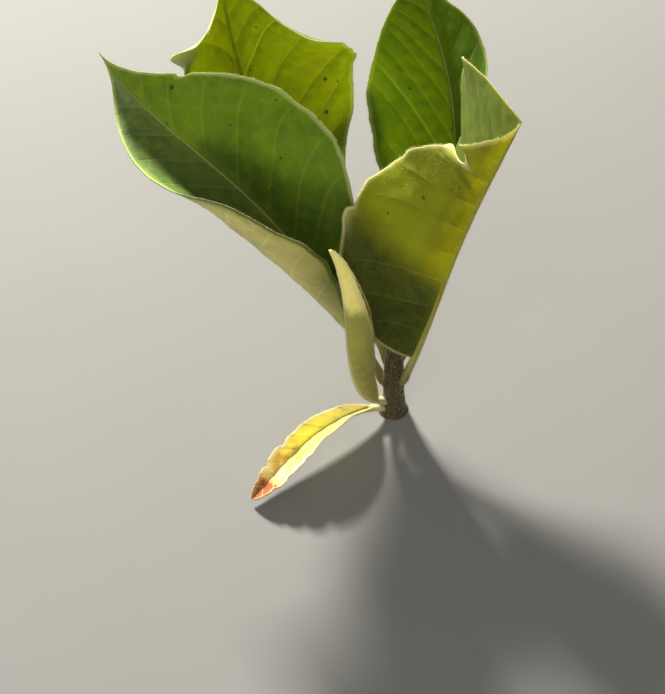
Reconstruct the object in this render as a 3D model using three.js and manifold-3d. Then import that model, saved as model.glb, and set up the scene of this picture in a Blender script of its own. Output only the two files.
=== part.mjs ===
import * as THREE from 'three';
import { mergeVertices } from 'three/addons/utils/BufferGeometryUtils.js';
import Module from 'manifold-3d';

// A young tobacco plant a few weeks after planting out: a short stem, four folded green leaves,
// one rolled leaf, one withered leaf that lies on the ground, and two young leaves in the heart.
// Millimetres and degrees, +Z up, origin in the middle of the stem's flat cut at ground level.
// Headings turn from +X towards +Y, and a rise is the angle above level ground.

// Sizes shared by all pieces
const CLEARANCE = 0.3; // between pieces that touch on the living plant
const BLADE_THICKNESS = 1.95; // over a hundredth of the longest leaf
const NARROWEST_STRIP = 0.5; // a blade starts and ends where it is this wide beside its midrib
const BLADE_STEPS = 21; // along a blade
const BLADE_STRIPS = 5; // from the midrib to the margin
const MIDRIB_STEPS = 24;
const MIDRIB_SIDES = 8;
const RIPPLE_START = 0.35; // the waves of the margin begin at this share of the half's width
const TRACE_STEPS = 180; // fine steps that the midrib's curve is summed in
const MERGE_DISTANCE = 1e-4;
const LEAST_TURN = 1e-4; // a half that turns less is straight

// The stem
const STEM_HEIGHT = 40;
const STEM_LEAN = new THREE.Vector2(-0.5, 4); // how far the tip stands from the foot
const STEM_FOOT_RADIUS = 6.4; // the root flare at the ground
const STEM_RADIUS = 4.3;
const STEM_TIP_RADIUS = 2.4;
const FLARE_HEIGHT = 6;
const STEM_RINGS = 20;
const STEM_SIDES = 20;
const FLARE_FALL = 3; // how fast the flare dies away within its height
const RING_CROWDING = 1.15; // over 1, the rings stand closer together at the flare
const NODE_SWELLING = 0.35; // where a leaf joins
const NODE_REACH = 2.2;

// The petioles
const CLASP_SCALE = 1.3; // the petiole's foot beside the petiole itself
const CLASP_DETAIL = 2;

const colours = {
  stem: '#6f8446',
  petiole: '#b4b76c',
  leftLeaf: '#4f7a12',
  backLeftLeaf: '#7f9a14',
  backLeaf: '#4f7d0f',
  rightLeaf: '#93a51c',
  rolledLeaf: '#a9ab4c',
  witheredLeaf: '#cfc04e',
  youngLeaf: '#8fae3a',
};

// Each list of angles runs from the leaf's foot to its tip. The blade's halves are named as seen
// along the leaf from the stem: fold lifts a half from flat, and curl turns it on to its margin.
// A ripple has a height and a number of waves. The radius is the midrib's, at its foot and tip.
const leaves = [
  {
    name: 'left_leaf',
    foot: [-3.5, 1.5, 15],
    length: 178.5,
    heading: [130.5, 159, 170, 137.5],
    rise: [38.5, 82, 6.5, 43.5],
    roll: [-18, -2.5, -21],
    petiole: 0.1,
    radius: [2.3, 0.5],
    ripple: [1.1, 5],
    colour: colours.leftLeaf,
    left: {
      width: 56,
      widest: 0.46,
      fullness: 1.66,
      fold: [-40, 77, -40, 28, 29, -40],
      curl: [27, 170, 95, 127, 40, -60],
    },
    right: { width: 47.5, widest: 0.563, fullness: 2.25, fold: [50.5, 65, 52], curl: [4, 10.5, 0] },
  },
  {
    name: 'back_left_leaf',
    foot: [-2, 3.5, 24],
    length: 179.7,
    heading: [116, 146, 100.5, 128.5],
    rise: [33.5, 25, 19, 97.5],
    roll: [4, -3.5, -5],
    petiole: 0.16,
    radius: [2.1, 0.5],
    ripple: [1.6, 5],
    colour: colours.backLeftLeaf,
    left: { width: 44.8, widest: 0.69, fullness: 0.92, fold: [43, 17.5, 49.5], curl: [4, -3.5, 7] },
    right: { width: 57.3, widest: 0.77, fullness: 1.66, fold: [32, 17, 68], curl: [1.5, -3.5, 24.5] },
  },
  {
    name: 'back_leaf',
    foot: [2.2, 3.4, 28],
    length: 157.7,
    heading: [51, 64.5, 101, 126.5],
    rise: [53, 44.5, 40, 40],
    roll: [-1, -18, -10.5],
    petiole: 0.16,
    radius: [2, 0.5],
    ripple: [1.2, 5],
    colour: colours.backLeaf,
    left: { width: 36.7, widest: 0.63, fullness: 0.96, fold: [44.5, 28, 25.5], curl: [3, -1.5, 0.5] },
    right: { width: 37.8, widest: 0.47, fullness: 0.92, fold: [51, 66, 52], curl: [4, 19, 12.5] },
  },
  {
    name: 'right_leaf',
    foot: [3.2, -0.3, 18],
    length: 167.5,
    heading: [-3, -36, -70.5, -25],
    rise: [73, 88, 67.5, 75.5],
    roll: [6.5, -18, -5],
    petiole: 0.1,
    radius: [2.2, 0.5],
    ripple: [1.2, 6],
    colour: colours.rightLeaf,
    left: { width: 55.5, widest: 0.67, fullness: 1.53, fold: [69.5, 30, 87, 53], curl: [-40, -40, 4, -2.5] },
    right: { width: 47.1, widest: 0.38, fullness: 1, fold: [50, 94, 68], curl: [-13, 43.5, 16.5] },
  },
  {
    name: 'rolled_leaf',
    foot: [-3.6, -1.6, 7.5],
    length: 111,
    heading: [222, 233.5, 218.5, 129, 180],
    rise: [33.5, 85.5, 93, 91, 70],
    roll: [-0.5, -6, 3],
    petiole: 0.06,
    radius: [1.8, 0.5],
    ripple: [0.3, 4],
    colour: colours.rolledLeaf,
    left: { width: 12.5, widest: 0.48, fullness: 0.64, fold: [15, 9.5, 20], curl: [120, 149.5, 130.5] },
    right: { width: 13.5, widest: 0.45, fullness: 0.7, fold: [15, 10, 20], curl: [120, 150, 130] },
  },
  {
    name: 'withered_leaf',
    foot: [-3.8, -2.5, 4.5],
    length: 72.5,
    heading: [202, 213, 235, 230.5],
    rise: [20, -3, -15, -9],
    roll: [-3.5, -0.5, -4],
    petiole: 0.08,
    radius: [1.9, 0.5],
    ripple: [0.6, 4],
    colour: colours.witheredLeaf,
    left: { width: 15, widest: 0.54, fullness: 0.71, fold: [57, 50, 39.5], curl: [-3.5, 0, -6] },
    right: { width: 7, widest: 0.53, fullness: 0.76, fold: [60.5, 51, 44], curl: [1, 1, -1.5] },
  },
];

// The young leaves in the heart are still rolled shut, in spindles with blunt feet and slim tips.
const SPINDLE_RINGS = 12;
const SPINDLE_SPAN = [0.22, 0.96]; // the part of a half wave that gives a spindle's swell
const SPINDLE_FULLNESS = 0.8;
const SPINDLE_FLATNESS = 0.8; // its depth beside its breadth
const youngLeaves = [
  { name: 'young_leaf_tall', foot: [-1.7, 4.2, 38], tip: [-1.5, 8, 74], radius: 2.1 },
  { name: 'young_leaf_short', foot: [1.4, 4.2, 38], tip: [3.6, 3.4, 53], radius: 1.5 },
];

const wasm = await Module();
wasm.setup();

const plant = new THREE.Group();

// Small sums
const radians = THREE.MathUtils.degToRad;
const mix = THREE.MathUtils.lerp;

// A smooth run through a list of values, from the first at share 0 to the last at share 1.
function along(values, share) {
  let level = values;
  while (level.length > 1) {
    level = level.slice(1).map((value, i) => mix(level[i], value, share));
  }
  return level[0];
}

// Closed bodies from rings or grids of points
function closedGeometry(points, triangles) {
  const geometry = new THREE.BufferGeometry();
  const coordinates = points.flatMap((point) => point.toArray());
  geometry.setAttribute('position', new THREE.Float32BufferAttribute(coordinates, 3));
  geometry.setIndex(triangles);
  return mergeVertices(geometry, MERGE_DISTANCE);
}

// Rings of points that turn the same way, joined one to the next and closed by flat ends.
function loft(rings) {
  const sides = rings[0].length;
  const points = rings.flat();
  const triangles = [];
  for (let ring = 0; ring < rings.length - 1; ring += 1) {
    for (let side = 0; side < sides; side += 1) {
      const a = ring * sides + side;
      const b = ring * sides + ((side + 1) % sides);
      triangles.push(a, b, b + sides, a, b + sides, a + sides);
    }
  }
  const last = (rings.length - 1) * sides;
  for (let side = 1; side < sides - 1; side += 1) {
    triangles.push(0, side + 1, side);
    triangles.push(last, last + side, last + side + 1);
  }
  return closedGeometry(points, triangles);
}

// A thin body between two grids of points that have the same rows and columns.
function slab(upper, lower) {
  const rows = upper.length;
  const columns = upper[0].length;
  const points = [...upper.flat(), ...lower.flat()];
  const under = rows * columns;
  const triangles = [];
  const quad = (a, b, c, d) => triangles.push(a, b, c, a, c, d);
  for (let row = 0; row < rows - 1; row += 1) {
    for (let column = 0; column < columns - 1; column += 1) {
      const a = row * columns + column;
      quad(a, a + 1, a + 1 + columns, a + columns);
      quad(under + a, under + a + columns, under + a + 1 + columns, under + a + 1);
    }
    const inner = row * columns;
    const outer = inner + columns - 1;
    quad(inner, inner + columns, under + inner + columns, under + inner);
    quad(outer, under + outer, under + outer + columns, outer + columns);
  }
  const end = (rows - 1) * columns;
  for (let column = 0; column < columns - 1; column += 1) {
    quad(column, under + column, under + column + 1, column + 1);
    const a = end + column;
    quad(a, a + 1, under + a + 1, under + a);
  }
  return closedGeometry(points, triangles);
}

function solidFrom(geometry) {
  return new wasm.Manifold(
    new wasm.Mesh({
      numProp: 3,
      vertProperties: geometry.getAttribute('position').array,
      triVerts: new Uint32Array(geometry.index.array),
    }),
  );
}

function geometryFrom(solid) {
  const mesh = solid.getMesh();
  const geometry = new THREE.BufferGeometry();
  geometry.setAttribute('position', new THREE.Float32BufferAttribute(mesh.vertProperties, 3));
  geometry.setIndex([...mesh.triVerts]);
  return geometry;
}

function addPiece(name, geometry, colour, roughness = 0.7) {
  const material = new THREE.MeshStandardMaterial({ color: colour, roughness, metalness: 0 });
  const faceted = geometry.toNonIndexed();
  faceted.computeVertexNormals();
  const mesh = new THREE.Mesh(faceted, material);
  mesh.name = name;
  plant.add(mesh);
}

// The stem: a leaning taper with a root flare, and a swelling at each leaf's foot
function stemCentre(height) {
  const share = height / STEM_HEIGHT;
  return new THREE.Vector3(STEM_LEAN.x * share, STEM_LEAN.y * share, height);
}

function stemRadius(height) {
  const taper = mix(STEM_RADIUS, STEM_TIP_RADIUS, (height / STEM_HEIGHT) ** 2);
  const flare = (STEM_FOOT_RADIUS - STEM_RADIUS) * Math.exp(-FLARE_FALL * (height / FLARE_HEIGHT));
  let swelling = 0;
  for (const leaf of leaves) {
    swelling += NODE_SWELLING * Math.exp(-(((height - leaf.foot[2]) / NODE_REACH) ** 2));
  }
  return taper + flare + swelling;
}

function stemGeometry(grow) {
  const rings = [];
  for (let ring = 0; ring <= STEM_RINGS; ring += 1) {
    const height = STEM_HEIGHT * (ring / STEM_RINGS) ** RING_CROWDING;
    const reach = ring === STEM_RINGS ? height + grow : height;
    const centre = stemCentre(height).setZ(reach);
    const radius = stemRadius(height) + grow;
    const points = [];
    for (let side = 0; side < STEM_SIDES; side += 1) {
      const turn = (side / STEM_SIDES) * Math.PI * 2;
      const offset = new THREE.Vector3(Math.cos(turn), Math.sin(turn), 0).multiplyScalar(radius);
      points.push(centre.clone().add(offset));
    }
    rings.push(points);
  }
  return loft(rings);
}

// The midrib's course: at each fine step a point, and the directions ahead, across and up
function courseOf(leaf) {
  const stations = [];
  const point = new THREE.Vector3(...leaf.foot);
  let before = null;
  for (let step = 0; step <= TRACE_STEPS; step += 1) {
    const share = step / TRACE_STEPS;
    const heading = radians(along(leaf.heading, share));
    const rise = radians(along(leaf.rise, share));
    const level = new THREE.Vector3(-Math.sin(heading), Math.cos(heading), 0);
    const ahead = new THREE.Vector3(Math.cos(heading), Math.sin(heading), 0)
      .multiplyScalar(Math.cos(rise))
      .setZ(Math.sin(rise));
    const top = ahead.clone().cross(level);
    const roll = radians(along(leaf.roll, share));
    const across = level.clone().multiplyScalar(Math.cos(roll)).addScaledVector(top, Math.sin(roll));
    const up = ahead.clone().cross(across);
    if (before) {
      const middle = before.clone().add(ahead).multiplyScalar(0.5);
      point.addScaledVector(middle, leaf.length / TRACE_STEPS);
    }
    stations.push({ share, point: point.clone(), ahead, across, up });
    before = ahead;
  }
  return stations;
}

// The station at any share of the leaf's length, between the fine steps.
function stationAt(course, share) {
  const place = THREE.MathUtils.clamp(share, 0, 1) * TRACE_STEPS;
  const index = Math.min(Math.floor(place), TRACE_STEPS - 1);
  const part = place - index;
  const [a, b] = [course[index], course[index + 1]];
  return {
    share,
    point: a.point.clone().lerp(b.point, part),
    across: a.across.clone().lerp(b.across, part).normalize(),
    up: a.up.clone().lerp(b.up, part).normalize(),
  };
}

// The midrib and petiole: one round taper, thickest where it clasps the stem
function midribRadius(leaf, share) {
  const [foot, tip] = leaf.radius;
  return mix(foot, tip, Math.sqrt(share));
}

function midribGeometry(leaf, course, grow) {
  const rings = [];
  for (let ring = 0; ring <= MIDRIB_STEPS; ring += 1) {
    const share = ring / MIDRIB_STEPS;
    const { point, across, up } = stationAt(course, share);
    const radius = midribRadius(leaf, share) + grow;
    const points = [];
    for (let side = 0; side < MIDRIB_SIDES; side += 1) {
      const turn = (side / MIDRIB_SIDES) * Math.PI * 2;
      const offset = across.clone().multiplyScalar(Math.cos(turn) * radius);
      offset.addScaledVector(up, Math.sin(turn) * radius);
      points.push(point.clone().add(offset));
    }
    rings.push(points);
  }
  return loft(rings);
}

function claspSolid(leaf, grow) {
  const clasp = new THREE.IcosahedronGeometry(leaf.radius[0] * CLASP_SCALE + grow, CLASP_DETAIL);
  clasp.deleteAttribute('normal');
  clasp.deleteAttribute('uv');
  clasp.translate(...leaf.foot);
  return solidFrom(mergeVertices(clasp, MERGE_DISTANCE));
}

function midribSolid(leaf, course, grow) {
  return solidFrom(midribGeometry(leaf, course, grow)).add(claspSolid(leaf, grow));
}

// Half a blade: how far its margin stands from the midrib
function halfWidth(leaf, half, share) {
  const part = THREE.MathUtils.clamp((share - leaf.petiole) / (1 - leaf.petiole), 0, 1);
  const { widest, fullness } = half;
  const tipPower = (fullness * (1 - widest)) / widest;
  return half.width * (part / widest) ** fullness * ((1 - part) / (1 - widest)) ** tipPower;
}

// The first and last share of the leaf where the half is wide enough to stand beside its midrib.
function bladeSpan(leaf, half) {
  const wide = [];
  for (let step = 0; step <= TRACE_STEPS; step += 1) {
    const share = step / TRACE_STEPS;
    const strip = halfWidth(leaf, half, share) - midribRadius(leaf, share) - CLEARANCE;
    if (strip > NARROWEST_STRIP) wide.push(share);
  }
  return [wide[0], wide.at(-1)];
}

// A point on the upper face, a given distance out from the midrib, and the face's direction there.
function bladePoint(leaf, half, side, station, distance, width) {
  const fold = radians(along(half.fold, station.share));
  const curl = radians(along(half.curl, station.share));
  const turn = (curl * distance) / width;
  // The way out is an arc: its chord is shorter than the distance, and lies at the mean angle.
  const chord = Math.abs(turn) < LEAST_TURN ? distance : (distance * Math.sin(turn / 2)) / (turn / 2);
  const mean = fold + turn / 2;
  const point = station.point
    .clone()
    .addScaledVector(station.across, side * chord * Math.cos(mean))
    .addScaledVector(station.up, chord * Math.sin(mean));
  const angle = fold + turn;
  const face = station.across
    .clone()
    .multiplyScalar(-side * Math.sin(angle))
    .addScaledVector(station.up, Math.cos(angle));
  const [rippleHeight, waves] = leaf.ripple;
  const outer = Math.max(0, distance / width - RIPPLE_START) / (1 - RIPPLE_START);
  const wave = Math.sin(2 * Math.PI * waves * station.share + side) * outer ** 2;
  point.addScaledVector(face, rippleHeight * wave * Math.sin(Math.PI * station.share));
  return { point, face };
}

function bladeGeometry(leaf, course, half, side) {
  const [start, end] = bladeSpan(leaf, half);
  const upper = [];
  const lower = [];
  for (let step = 0; step <= BLADE_STEPS; step += 1) {
    const share = mix(start, end, step / BLADE_STEPS);
    const station = stationAt(course, share);
    const width = halfWidth(leaf, half, share);
    const inner = midribRadius(leaf, share) + CLEARANCE;
    const upperRow = [];
    const lowerRow = [];
    for (let strip = 0; strip <= BLADE_STRIPS; strip += 1) {
      const distance = mix(inner, width, strip / BLADE_STRIPS);
      const { point, face } = bladePoint(leaf, half, side, station, distance, width);
      upperRow.push(point);
      lowerRow.push(point.clone().addScaledVector(face, -BLADE_THICKNESS));
    }
    // The left half's strips run from its margin in, so that both halves' faces point out.
    upper.push(side > 0 ? upperRow.reverse() : upperRow);
    lower.push(side > 0 ? lowerRow.reverse() : lowerRow);
  }
  return slab(upper, lower);
}

// The young leaves: slim spindles that bend a little from the stem's tip
function spindleGeometry(young) {
  const foot = new THREE.Vector3(...young.foot);
  const tip = new THREE.Vector3(...young.tip);
  const rings = [];
  for (let ring = 0; ring <= SPINDLE_RINGS; ring += 1) {
    const share = ring / SPINDLE_RINGS;
    const centre = foot.clone().lerp(tip, share);
    const swell = Math.sin(Math.PI * mix(...SPINDLE_SPAN, share)) ** SPINDLE_FULLNESS;
    const points = [];
    for (let side = 0; side < MIDRIB_SIDES; side += 1) {
      const turn = (side / MIDRIB_SIDES) * Math.PI * 2;
      const offset = new THREE.Vector3(Math.cos(turn), SPINDLE_FLATNESS * Math.sin(turn), 0);
      points.push(centre.clone().addScaledVector(offset, young.radius * swell));
    }
    rings.push(points);
  }
  return loft(rings);
}

// The assembly: each piece is cut clear of what it grows from
const stem = solidFrom(stemGeometry(0));
addPiece('stem', geometryFrom(stem), colours.stem, 0.75);

const grownBefore = [solidFrom(stemGeometry(CLEARANCE))];
const cutClear = (solid) => grownBefore.reduce((cut, other) => cut.subtract(other), solid);

for (const leaf of leaves) {
  const course = courseOf(leaf);
  const midrib = cutClear(midribSolid(leaf, course, 0));
  addPiece(`${leaf.name}_midrib`, geometryFrom(midrib), colours.petiole, 0.65);
  for (const [side, half] of [[1, leaf.left], [-1, leaf.right]]) {
    const blade = cutClear(solidFrom(bladeGeometry(leaf, course, half, side)));
    const sideName = side > 0 ? 'left' : 'right';
    addPiece(`${leaf.name}_${sideName}_blade`, geometryFrom(blade), leaf.colour);
  }
  grownBefore.push(midribSolid(leaf, course, CLEARANCE));
}

for (const young of youngLeaves) {
  const spindle = cutClear(solidFrom(spindleGeometry(young)));
  addPiece(young.name, geometryFrom(spindle), colours.youngLeaf);
}

export default plant;
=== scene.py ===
import math

import bpy
import numpy as np
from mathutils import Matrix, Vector, noise


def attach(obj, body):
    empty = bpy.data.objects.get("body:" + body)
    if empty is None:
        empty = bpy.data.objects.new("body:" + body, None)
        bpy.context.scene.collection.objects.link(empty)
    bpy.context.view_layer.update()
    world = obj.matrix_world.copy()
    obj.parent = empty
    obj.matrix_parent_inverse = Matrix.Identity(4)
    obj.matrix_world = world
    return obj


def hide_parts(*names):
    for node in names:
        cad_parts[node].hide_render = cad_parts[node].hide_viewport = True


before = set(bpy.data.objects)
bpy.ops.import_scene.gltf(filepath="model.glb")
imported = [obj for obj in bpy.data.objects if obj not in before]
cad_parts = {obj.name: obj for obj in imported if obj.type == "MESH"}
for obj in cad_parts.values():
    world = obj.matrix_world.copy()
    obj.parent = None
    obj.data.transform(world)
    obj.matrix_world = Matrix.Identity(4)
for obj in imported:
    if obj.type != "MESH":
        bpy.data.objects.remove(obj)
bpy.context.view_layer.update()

# The stem: the short, brownish green shoot of a young plant, leaning a little from the viewer.
# It is one living taper with a root flare, cut flat at the ground and swollen where leaves join.
# Sizes are in millimetres and angles in degrees until a mesh is placed, as in the part's source.
MM = 0.001
STEM_HEIGHT = 40
STEM_LEAN = (-0.5, 4)
STEM_FOOT_RADIUS = 6.4
STEM_RADIUS = 4.3
STEM_TIP_RADIUS = 2.4
FLARE_HEIGHT = 6
FLARE_FALL = 3
NODE_SWELLING = 0.35
NODE_REACH = 2.2
STEM_SIDES = 120
STEM_RINGS = 150
STEM_RIBS = 5
STEM_RIB_HEIGHT = 0.16
STEM_RIB_TWIST = 0.05
STEM_GRAIN_HEIGHT = 0.14
STEM_GRAIN_SIZE = 1.2
STEM_DOME = 0.94
# The stem's paints are darker than its own brownish green: painted shade, for the shade of the leaves above
# it.
STEM_PAINTS = {"dark": "#352f19", "light": "#4c4727", "patch": "#38261b", "foot": "#44301f"}
LEAF_FEET = {
    "left_leaf": (-3.5, 1.5, 15),
    "back_left_leaf": (-2, 3.5, 24),
    "back_leaf": (2.2, 3.4, 28),
    "right_leaf": (3.2, -0.3, 18),
    "rolled_leaf": (-3.6, -1.6, 7.5),
    "withered_leaf": (-3.8, -2.5, 4.5),
}


def points_of(piece):
    """The places of a mesh's vertices, one row for each."""
    places = np.zeros(len(piece.data.vertices) * 3)
    piece.data.vertices.foreach_get("co", places)
    return places.reshape(-1, 3)


def put_points(piece, places):
    """Moves the vertices of a mesh to places in millimetres."""
    piece.data.vertices.foreach_set("co", (places * MM).ravel())
    piece.data.update()


def unevenness(places, size, seed):
    """A smooth random height from -1 to 1 at each place, with bumps of about the given size."""
    shift = Vector((seed * 17.3, seed * 5.9, seed * 11.7))
    return np.array([noise.noise(Vector(place) / size + shift) for place in places])


def just_made(name):
    """The piece that the call before has made, under its own name."""
    piece = bpy.context.object
    piece.name = name
    piece.data.name = name
    return piece


def new_tube(name, sides, rings):
    """A straight tube with closed ends and rings along it, ready to be drawn into a stalk."""
    bpy.ops.mesh.primitive_cylinder_add(vertices=sides, radius=1, depth=2, end_fill_type="NGON")
    tube = just_made(name)
    bpy.ops.object.mode_set(mode="EDIT")
    bpy.context.tool_settings.mesh_select_mode = (False, True, False)
    bpy.ops.mesh.select_all(action="DESELECT")
    bpy.ops.object.mode_set(mode="OBJECT")
    for edge in tube.data.edges:
        low, high = (tube.data.vertices[i].co.z for i in edge.vertices)
        edge.select = abs(high - low) > 1
    bpy.ops.object.mode_set(mode="EDIT")
    bpy.ops.mesh.subdivide(number_cuts=rings - 1)
    bpy.ops.object.mode_set(mode="OBJECT")
    return tube


def stem_radius(height):
    """The stem's radius at a height, by the part's rule."""
    taper = STEM_RADIUS + (STEM_TIP_RADIUS - STEM_RADIUS) * (height / STEM_HEIGHT) ** 2
    flare = (STEM_FOOT_RADIUS - STEM_RADIUS) * np.exp(-FLARE_FALL * height / FLARE_HEIGHT)
    swelling = 0
    for foot in LEAF_FEET.values():
        swelling = swelling + NODE_SWELLING * np.exp(-(((height - foot[2]) / NODE_REACH) ** 2))
    return taper + flare + swelling


def paint(code):
    """A colour as the shader takes it, from the code that a paint chart gives."""
    parts = [int(code[i : i + 2], 16) / 255 for i in (1, 3, 5)]
    return [p / 12.92 if p <= 0.04045 else ((p + 0.055) / 1.055) ** 2.4 for p in parts] + [1]


class Shade:
    """A value in a material. Sums on it become Math nodes."""

    def __init__(self, finish, socket):
        self.finish = finish
        self.socket = socket

    def math(self, operation, first, second=0.0):
        return self.finish.node("ShaderNodeMath", {"operation": operation}, {0: first, 1: second})

    def __add__(self, other):
        return self.math("ADD", self, other)

    def __sub__(self, other):
        return self.math("SUBTRACT", self, other)

    def __mul__(self, other):
        return self.math("MULTIPLY", self, other)

    def __abs__(self):
        return self.math("ABSOLUTE", self)

    __radd__ = __add__
    __rmul__ = __mul__

    def __rsub__(self, other):
        return self.math("SUBTRACT", other, self)

    def to_line(self, gap):
        """How far the value is from the nearest whole number, times the gap between them."""
        return self.math("PINGPONG", self, 0.5) * gap

    def ramp(self, start, end):
        """0 up to start, 1 from end on, and smooth between them."""
        settings = {"interpolation_type": "SMOOTHSTEP"}
        inputs = {"Value": self, "From Min": start, "From Max": end}
        return self.finish.node("ShaderNodeMapRange", settings, inputs)

    def line(self, core, rim):
        """1 up to core, 0 from rim on: a line's mask from the distance to it."""
        return 1 - self.ramp(core, rim)


class Finish:
    """A material being put together."""

    def __init__(self, name):
        self.material = bpy.data.materials.new(name)
        self.material.use_nodes = True
        self.tree = self.material.node_tree
        self.tree.nodes.clear()

    def node(self, kind, settings, inputs, output=0):
        """Adds a node and feeds it: with a value of another node, a paint's code or a constant."""
        made = self.tree.nodes.new(kind)
        for setting, value in settings.items():
            setattr(made, setting, value)
        for place, value in inputs.items():
            if isinstance(value, Shade):
                self.tree.links.new(value.socket, made.inputs[place])
            elif isinstance(value, str):
                made.inputs[place].default_value = paint(value)
            else:
                made.inputs[place].default_value = value
        return Shade(self, made.outputs[output])

    def place(self):
        """Where a point of the piece is, in metres."""
        return self.node("ShaderNodeTexCoord", {}, {}, "Object")

    def own(self, attribute):
        """A value that the mesh carries at each of its points."""
        return self.node("ShaderNodeAttribute", {"attribute_name": attribute}, {}, "Fac")

    def laid_flat(self, along, across):
        """Where a point is on the blade laid flat, from its millimetres along and across."""
        return self.node("ShaderNodeCombineXYZ", {}, {"X": along * MM, "Y": across * MM})

    def clouds(self, where, size, detail=3.0):
        """Soft random patches from 0 to 1, of about the size given in millimetres."""
        inputs = {"Vector": where, "Scale": 1000 / size, "Detail": detail}
        return self.node("ShaderNodeTexNoise", {}, inputs, "Fac")

    def led_astray(self, where, size, reach):
        """The same places, each led astray by up to the given millimetres, so that lines wander."""
        inputs = {"Vector": where, "Scale": 1000 / size, "Detail": 1.0}
        stray = self.node("ShaderNodeTexNoise", {}, inputs, "Color")
        inputs = {0: stray, 1: (reach * MM, reach * MM, reach * MM), 2: where}
        return self.node("ShaderNodeVectorMath", {"operation": "MULTIPLY_ADD"}, inputs)

    def cells(self, where, size, feature="DISTANCE_TO_EDGE"):
        """The distance to the borders, or the middles, of random cells."""
        inputs = {"Vector": where, "Scale": 1000 / size}
        return self.node("ShaderNodeTexVoronoi", {"feature": feature}, inputs, "Distance")

    def tint(self, factor, first, second):
        """The first colour where the factor is 0, and the second where it is 1."""
        settings = {"data_type": "RGBA"}
        return self.node("ShaderNodeMix", settings, {0: factor, 6: first, 7: second}, 2)

    def close(self, colour, roughness, height, depth, sheen, glow=None, share=0.0, gloss=0.25):
        """Joins colour, gloss and relief, down to a depth in millimetres, into the surface. A thin
        blade also lets a share of the light through."""
        inputs = {"Height": height, "Strength": 1.0, "Distance": depth * MM}
        relief = self.node("ShaderNodeBump", {}, inputs, "Normal")
        inputs = {
            "Base Color": colour,
            "Roughness": roughness,
            "Normal": relief,
            "Specular IOR Level": gloss,
            "Sheen Weight": sheen,
            "Sheen Roughness": 0.4,
        }
        surface = self.node("ShaderNodeBsdfPrincipled", {}, inputs)
        if glow:
            through = self.node("ShaderNodeBsdfTranslucent", {}, {"Color": glow})
            surface = self.node("ShaderNodeMixShader", {}, {0: share, 1: surface, 2: through})
        out = self.tree.nodes.new("ShaderNodeOutputMaterial")
        self.tree.links.new(surface.socket, out.inputs["Surface"])
        return self.material


def stem_surface(height, turn):
    """The shoot's middle and its skin at each height and turn, with low ribs and a fine grain."""
    share = height / STEM_HEIGHT
    ribs = STEM_RIB_HEIGHT * np.cos(turn * STEM_RIBS + height * STEM_RIB_TWIST)
    drawn_out = np.c_[np.cos(turn) * 4, np.sin(turn) * 4, height * 0.2]
    grain = STEM_GRAIN_HEIGHT * unevenness(drawn_out, STEM_GRAIN_SIZE, 1)
    radius = stem_radius(height) + (ribs + grain) * np.minimum(1, 0.3 + height / 8)
    radius = radius * np.sqrt(1 - np.clip((share - STEM_DOME) / (1 - STEM_DOME), 0, 0.97) ** 2)
    middle = np.c_[share * STEM_LEAN[0], share * STEM_LEAN[1], height]
    return middle, middle + np.c_[np.cos(turn) * radius, np.sin(turn) * radius, height * 0]


def stem_finish():
    """Dull brownish green skin, darkened as painted shade, with fine lengthwise streaks, browner at the
    ground.
    """
    skin = Finish("stem_skin")
    place = skin.place()
    long_way = skin.node("ShaderNodeMapping", {}, {"Vector": place, "Scale": (1.0, 1.0, 0.12)})
    streaks = skin.clouds(long_way, 1.1)
    patches = skin.clouds(place, 9)
    height = skin.node("ShaderNodeSeparateXYZ", {}, {"Vector": place}, "Z")
    near_ground = (height + patches * 0.006).line(0.004, 0.014)
    colour = skin.tint(streaks.ramp(0.3, 0.7), STEM_PAINTS["dark"], STEM_PAINTS["light"])
    colour = skin.tint(patches.ramp(0.5, 0.75) * 0.5, colour, STEM_PAINTS["patch"])
    colour = skin.tint(near_ground * 0.7, colour, STEM_PAINTS["foot"])
    return skin.close(colour, streaks * 0.2 + 0.5, streaks + patches, 0.4, 0.1)


stem = new_tube("stem_shoot", STEM_SIDES, STEM_RINGS)
start = points_of(stem)
height = (start[:, 2] + 1) / 2 * STEM_HEIGHT
turn = np.arctan2(start[:, 1], start[:, 0])
put_points(stem, stem_surface(height, turn)[1])
stem.data.materials.append(stem_finish())
bpy.ops.object.shade_smooth_by_angle(angle=math.radians(50))
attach(stem, "root")
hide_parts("stem")

# The leaves' ribs: each petiole runs on as the midrib, a juicy pale stalk that grows out of the
# stem with a short heel and fades out at the leaf's tip. A shallow channel runs along its top.
# Headings turn from +X towards +Y, and each list of angles runs from the leaf's foot to its tip.
TRACE_STEPS = 360
RIB_SIDES = 20
RIB_RINGS = 150
CLASP_REACH = 3.2
CLASP_GROWTH = 0.45
HEEL_REACH = 1.4
HEEL_DROP = 3.2
HEEL_SLIMNESS = 0.75
CHANNEL = 0.22
STRAND_HEIGHT = 0.05
RIB_END = 0.12
RIB_FLATNESS = 0.92
RIB_SINK = 0.72
RIB_PAINTS = {"dark": "#98974a", "light": "#bdb56c", "patch": "#a39d4e"}


def blade_half(width, widest, fullness, fold, curl):
    """Half a blade: its width, where it is widest and how full, and its angles up and inwards."""
    return {"width": width, "widest": widest, "fullness": fullness, "fold": fold, "curl": curl}


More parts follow.
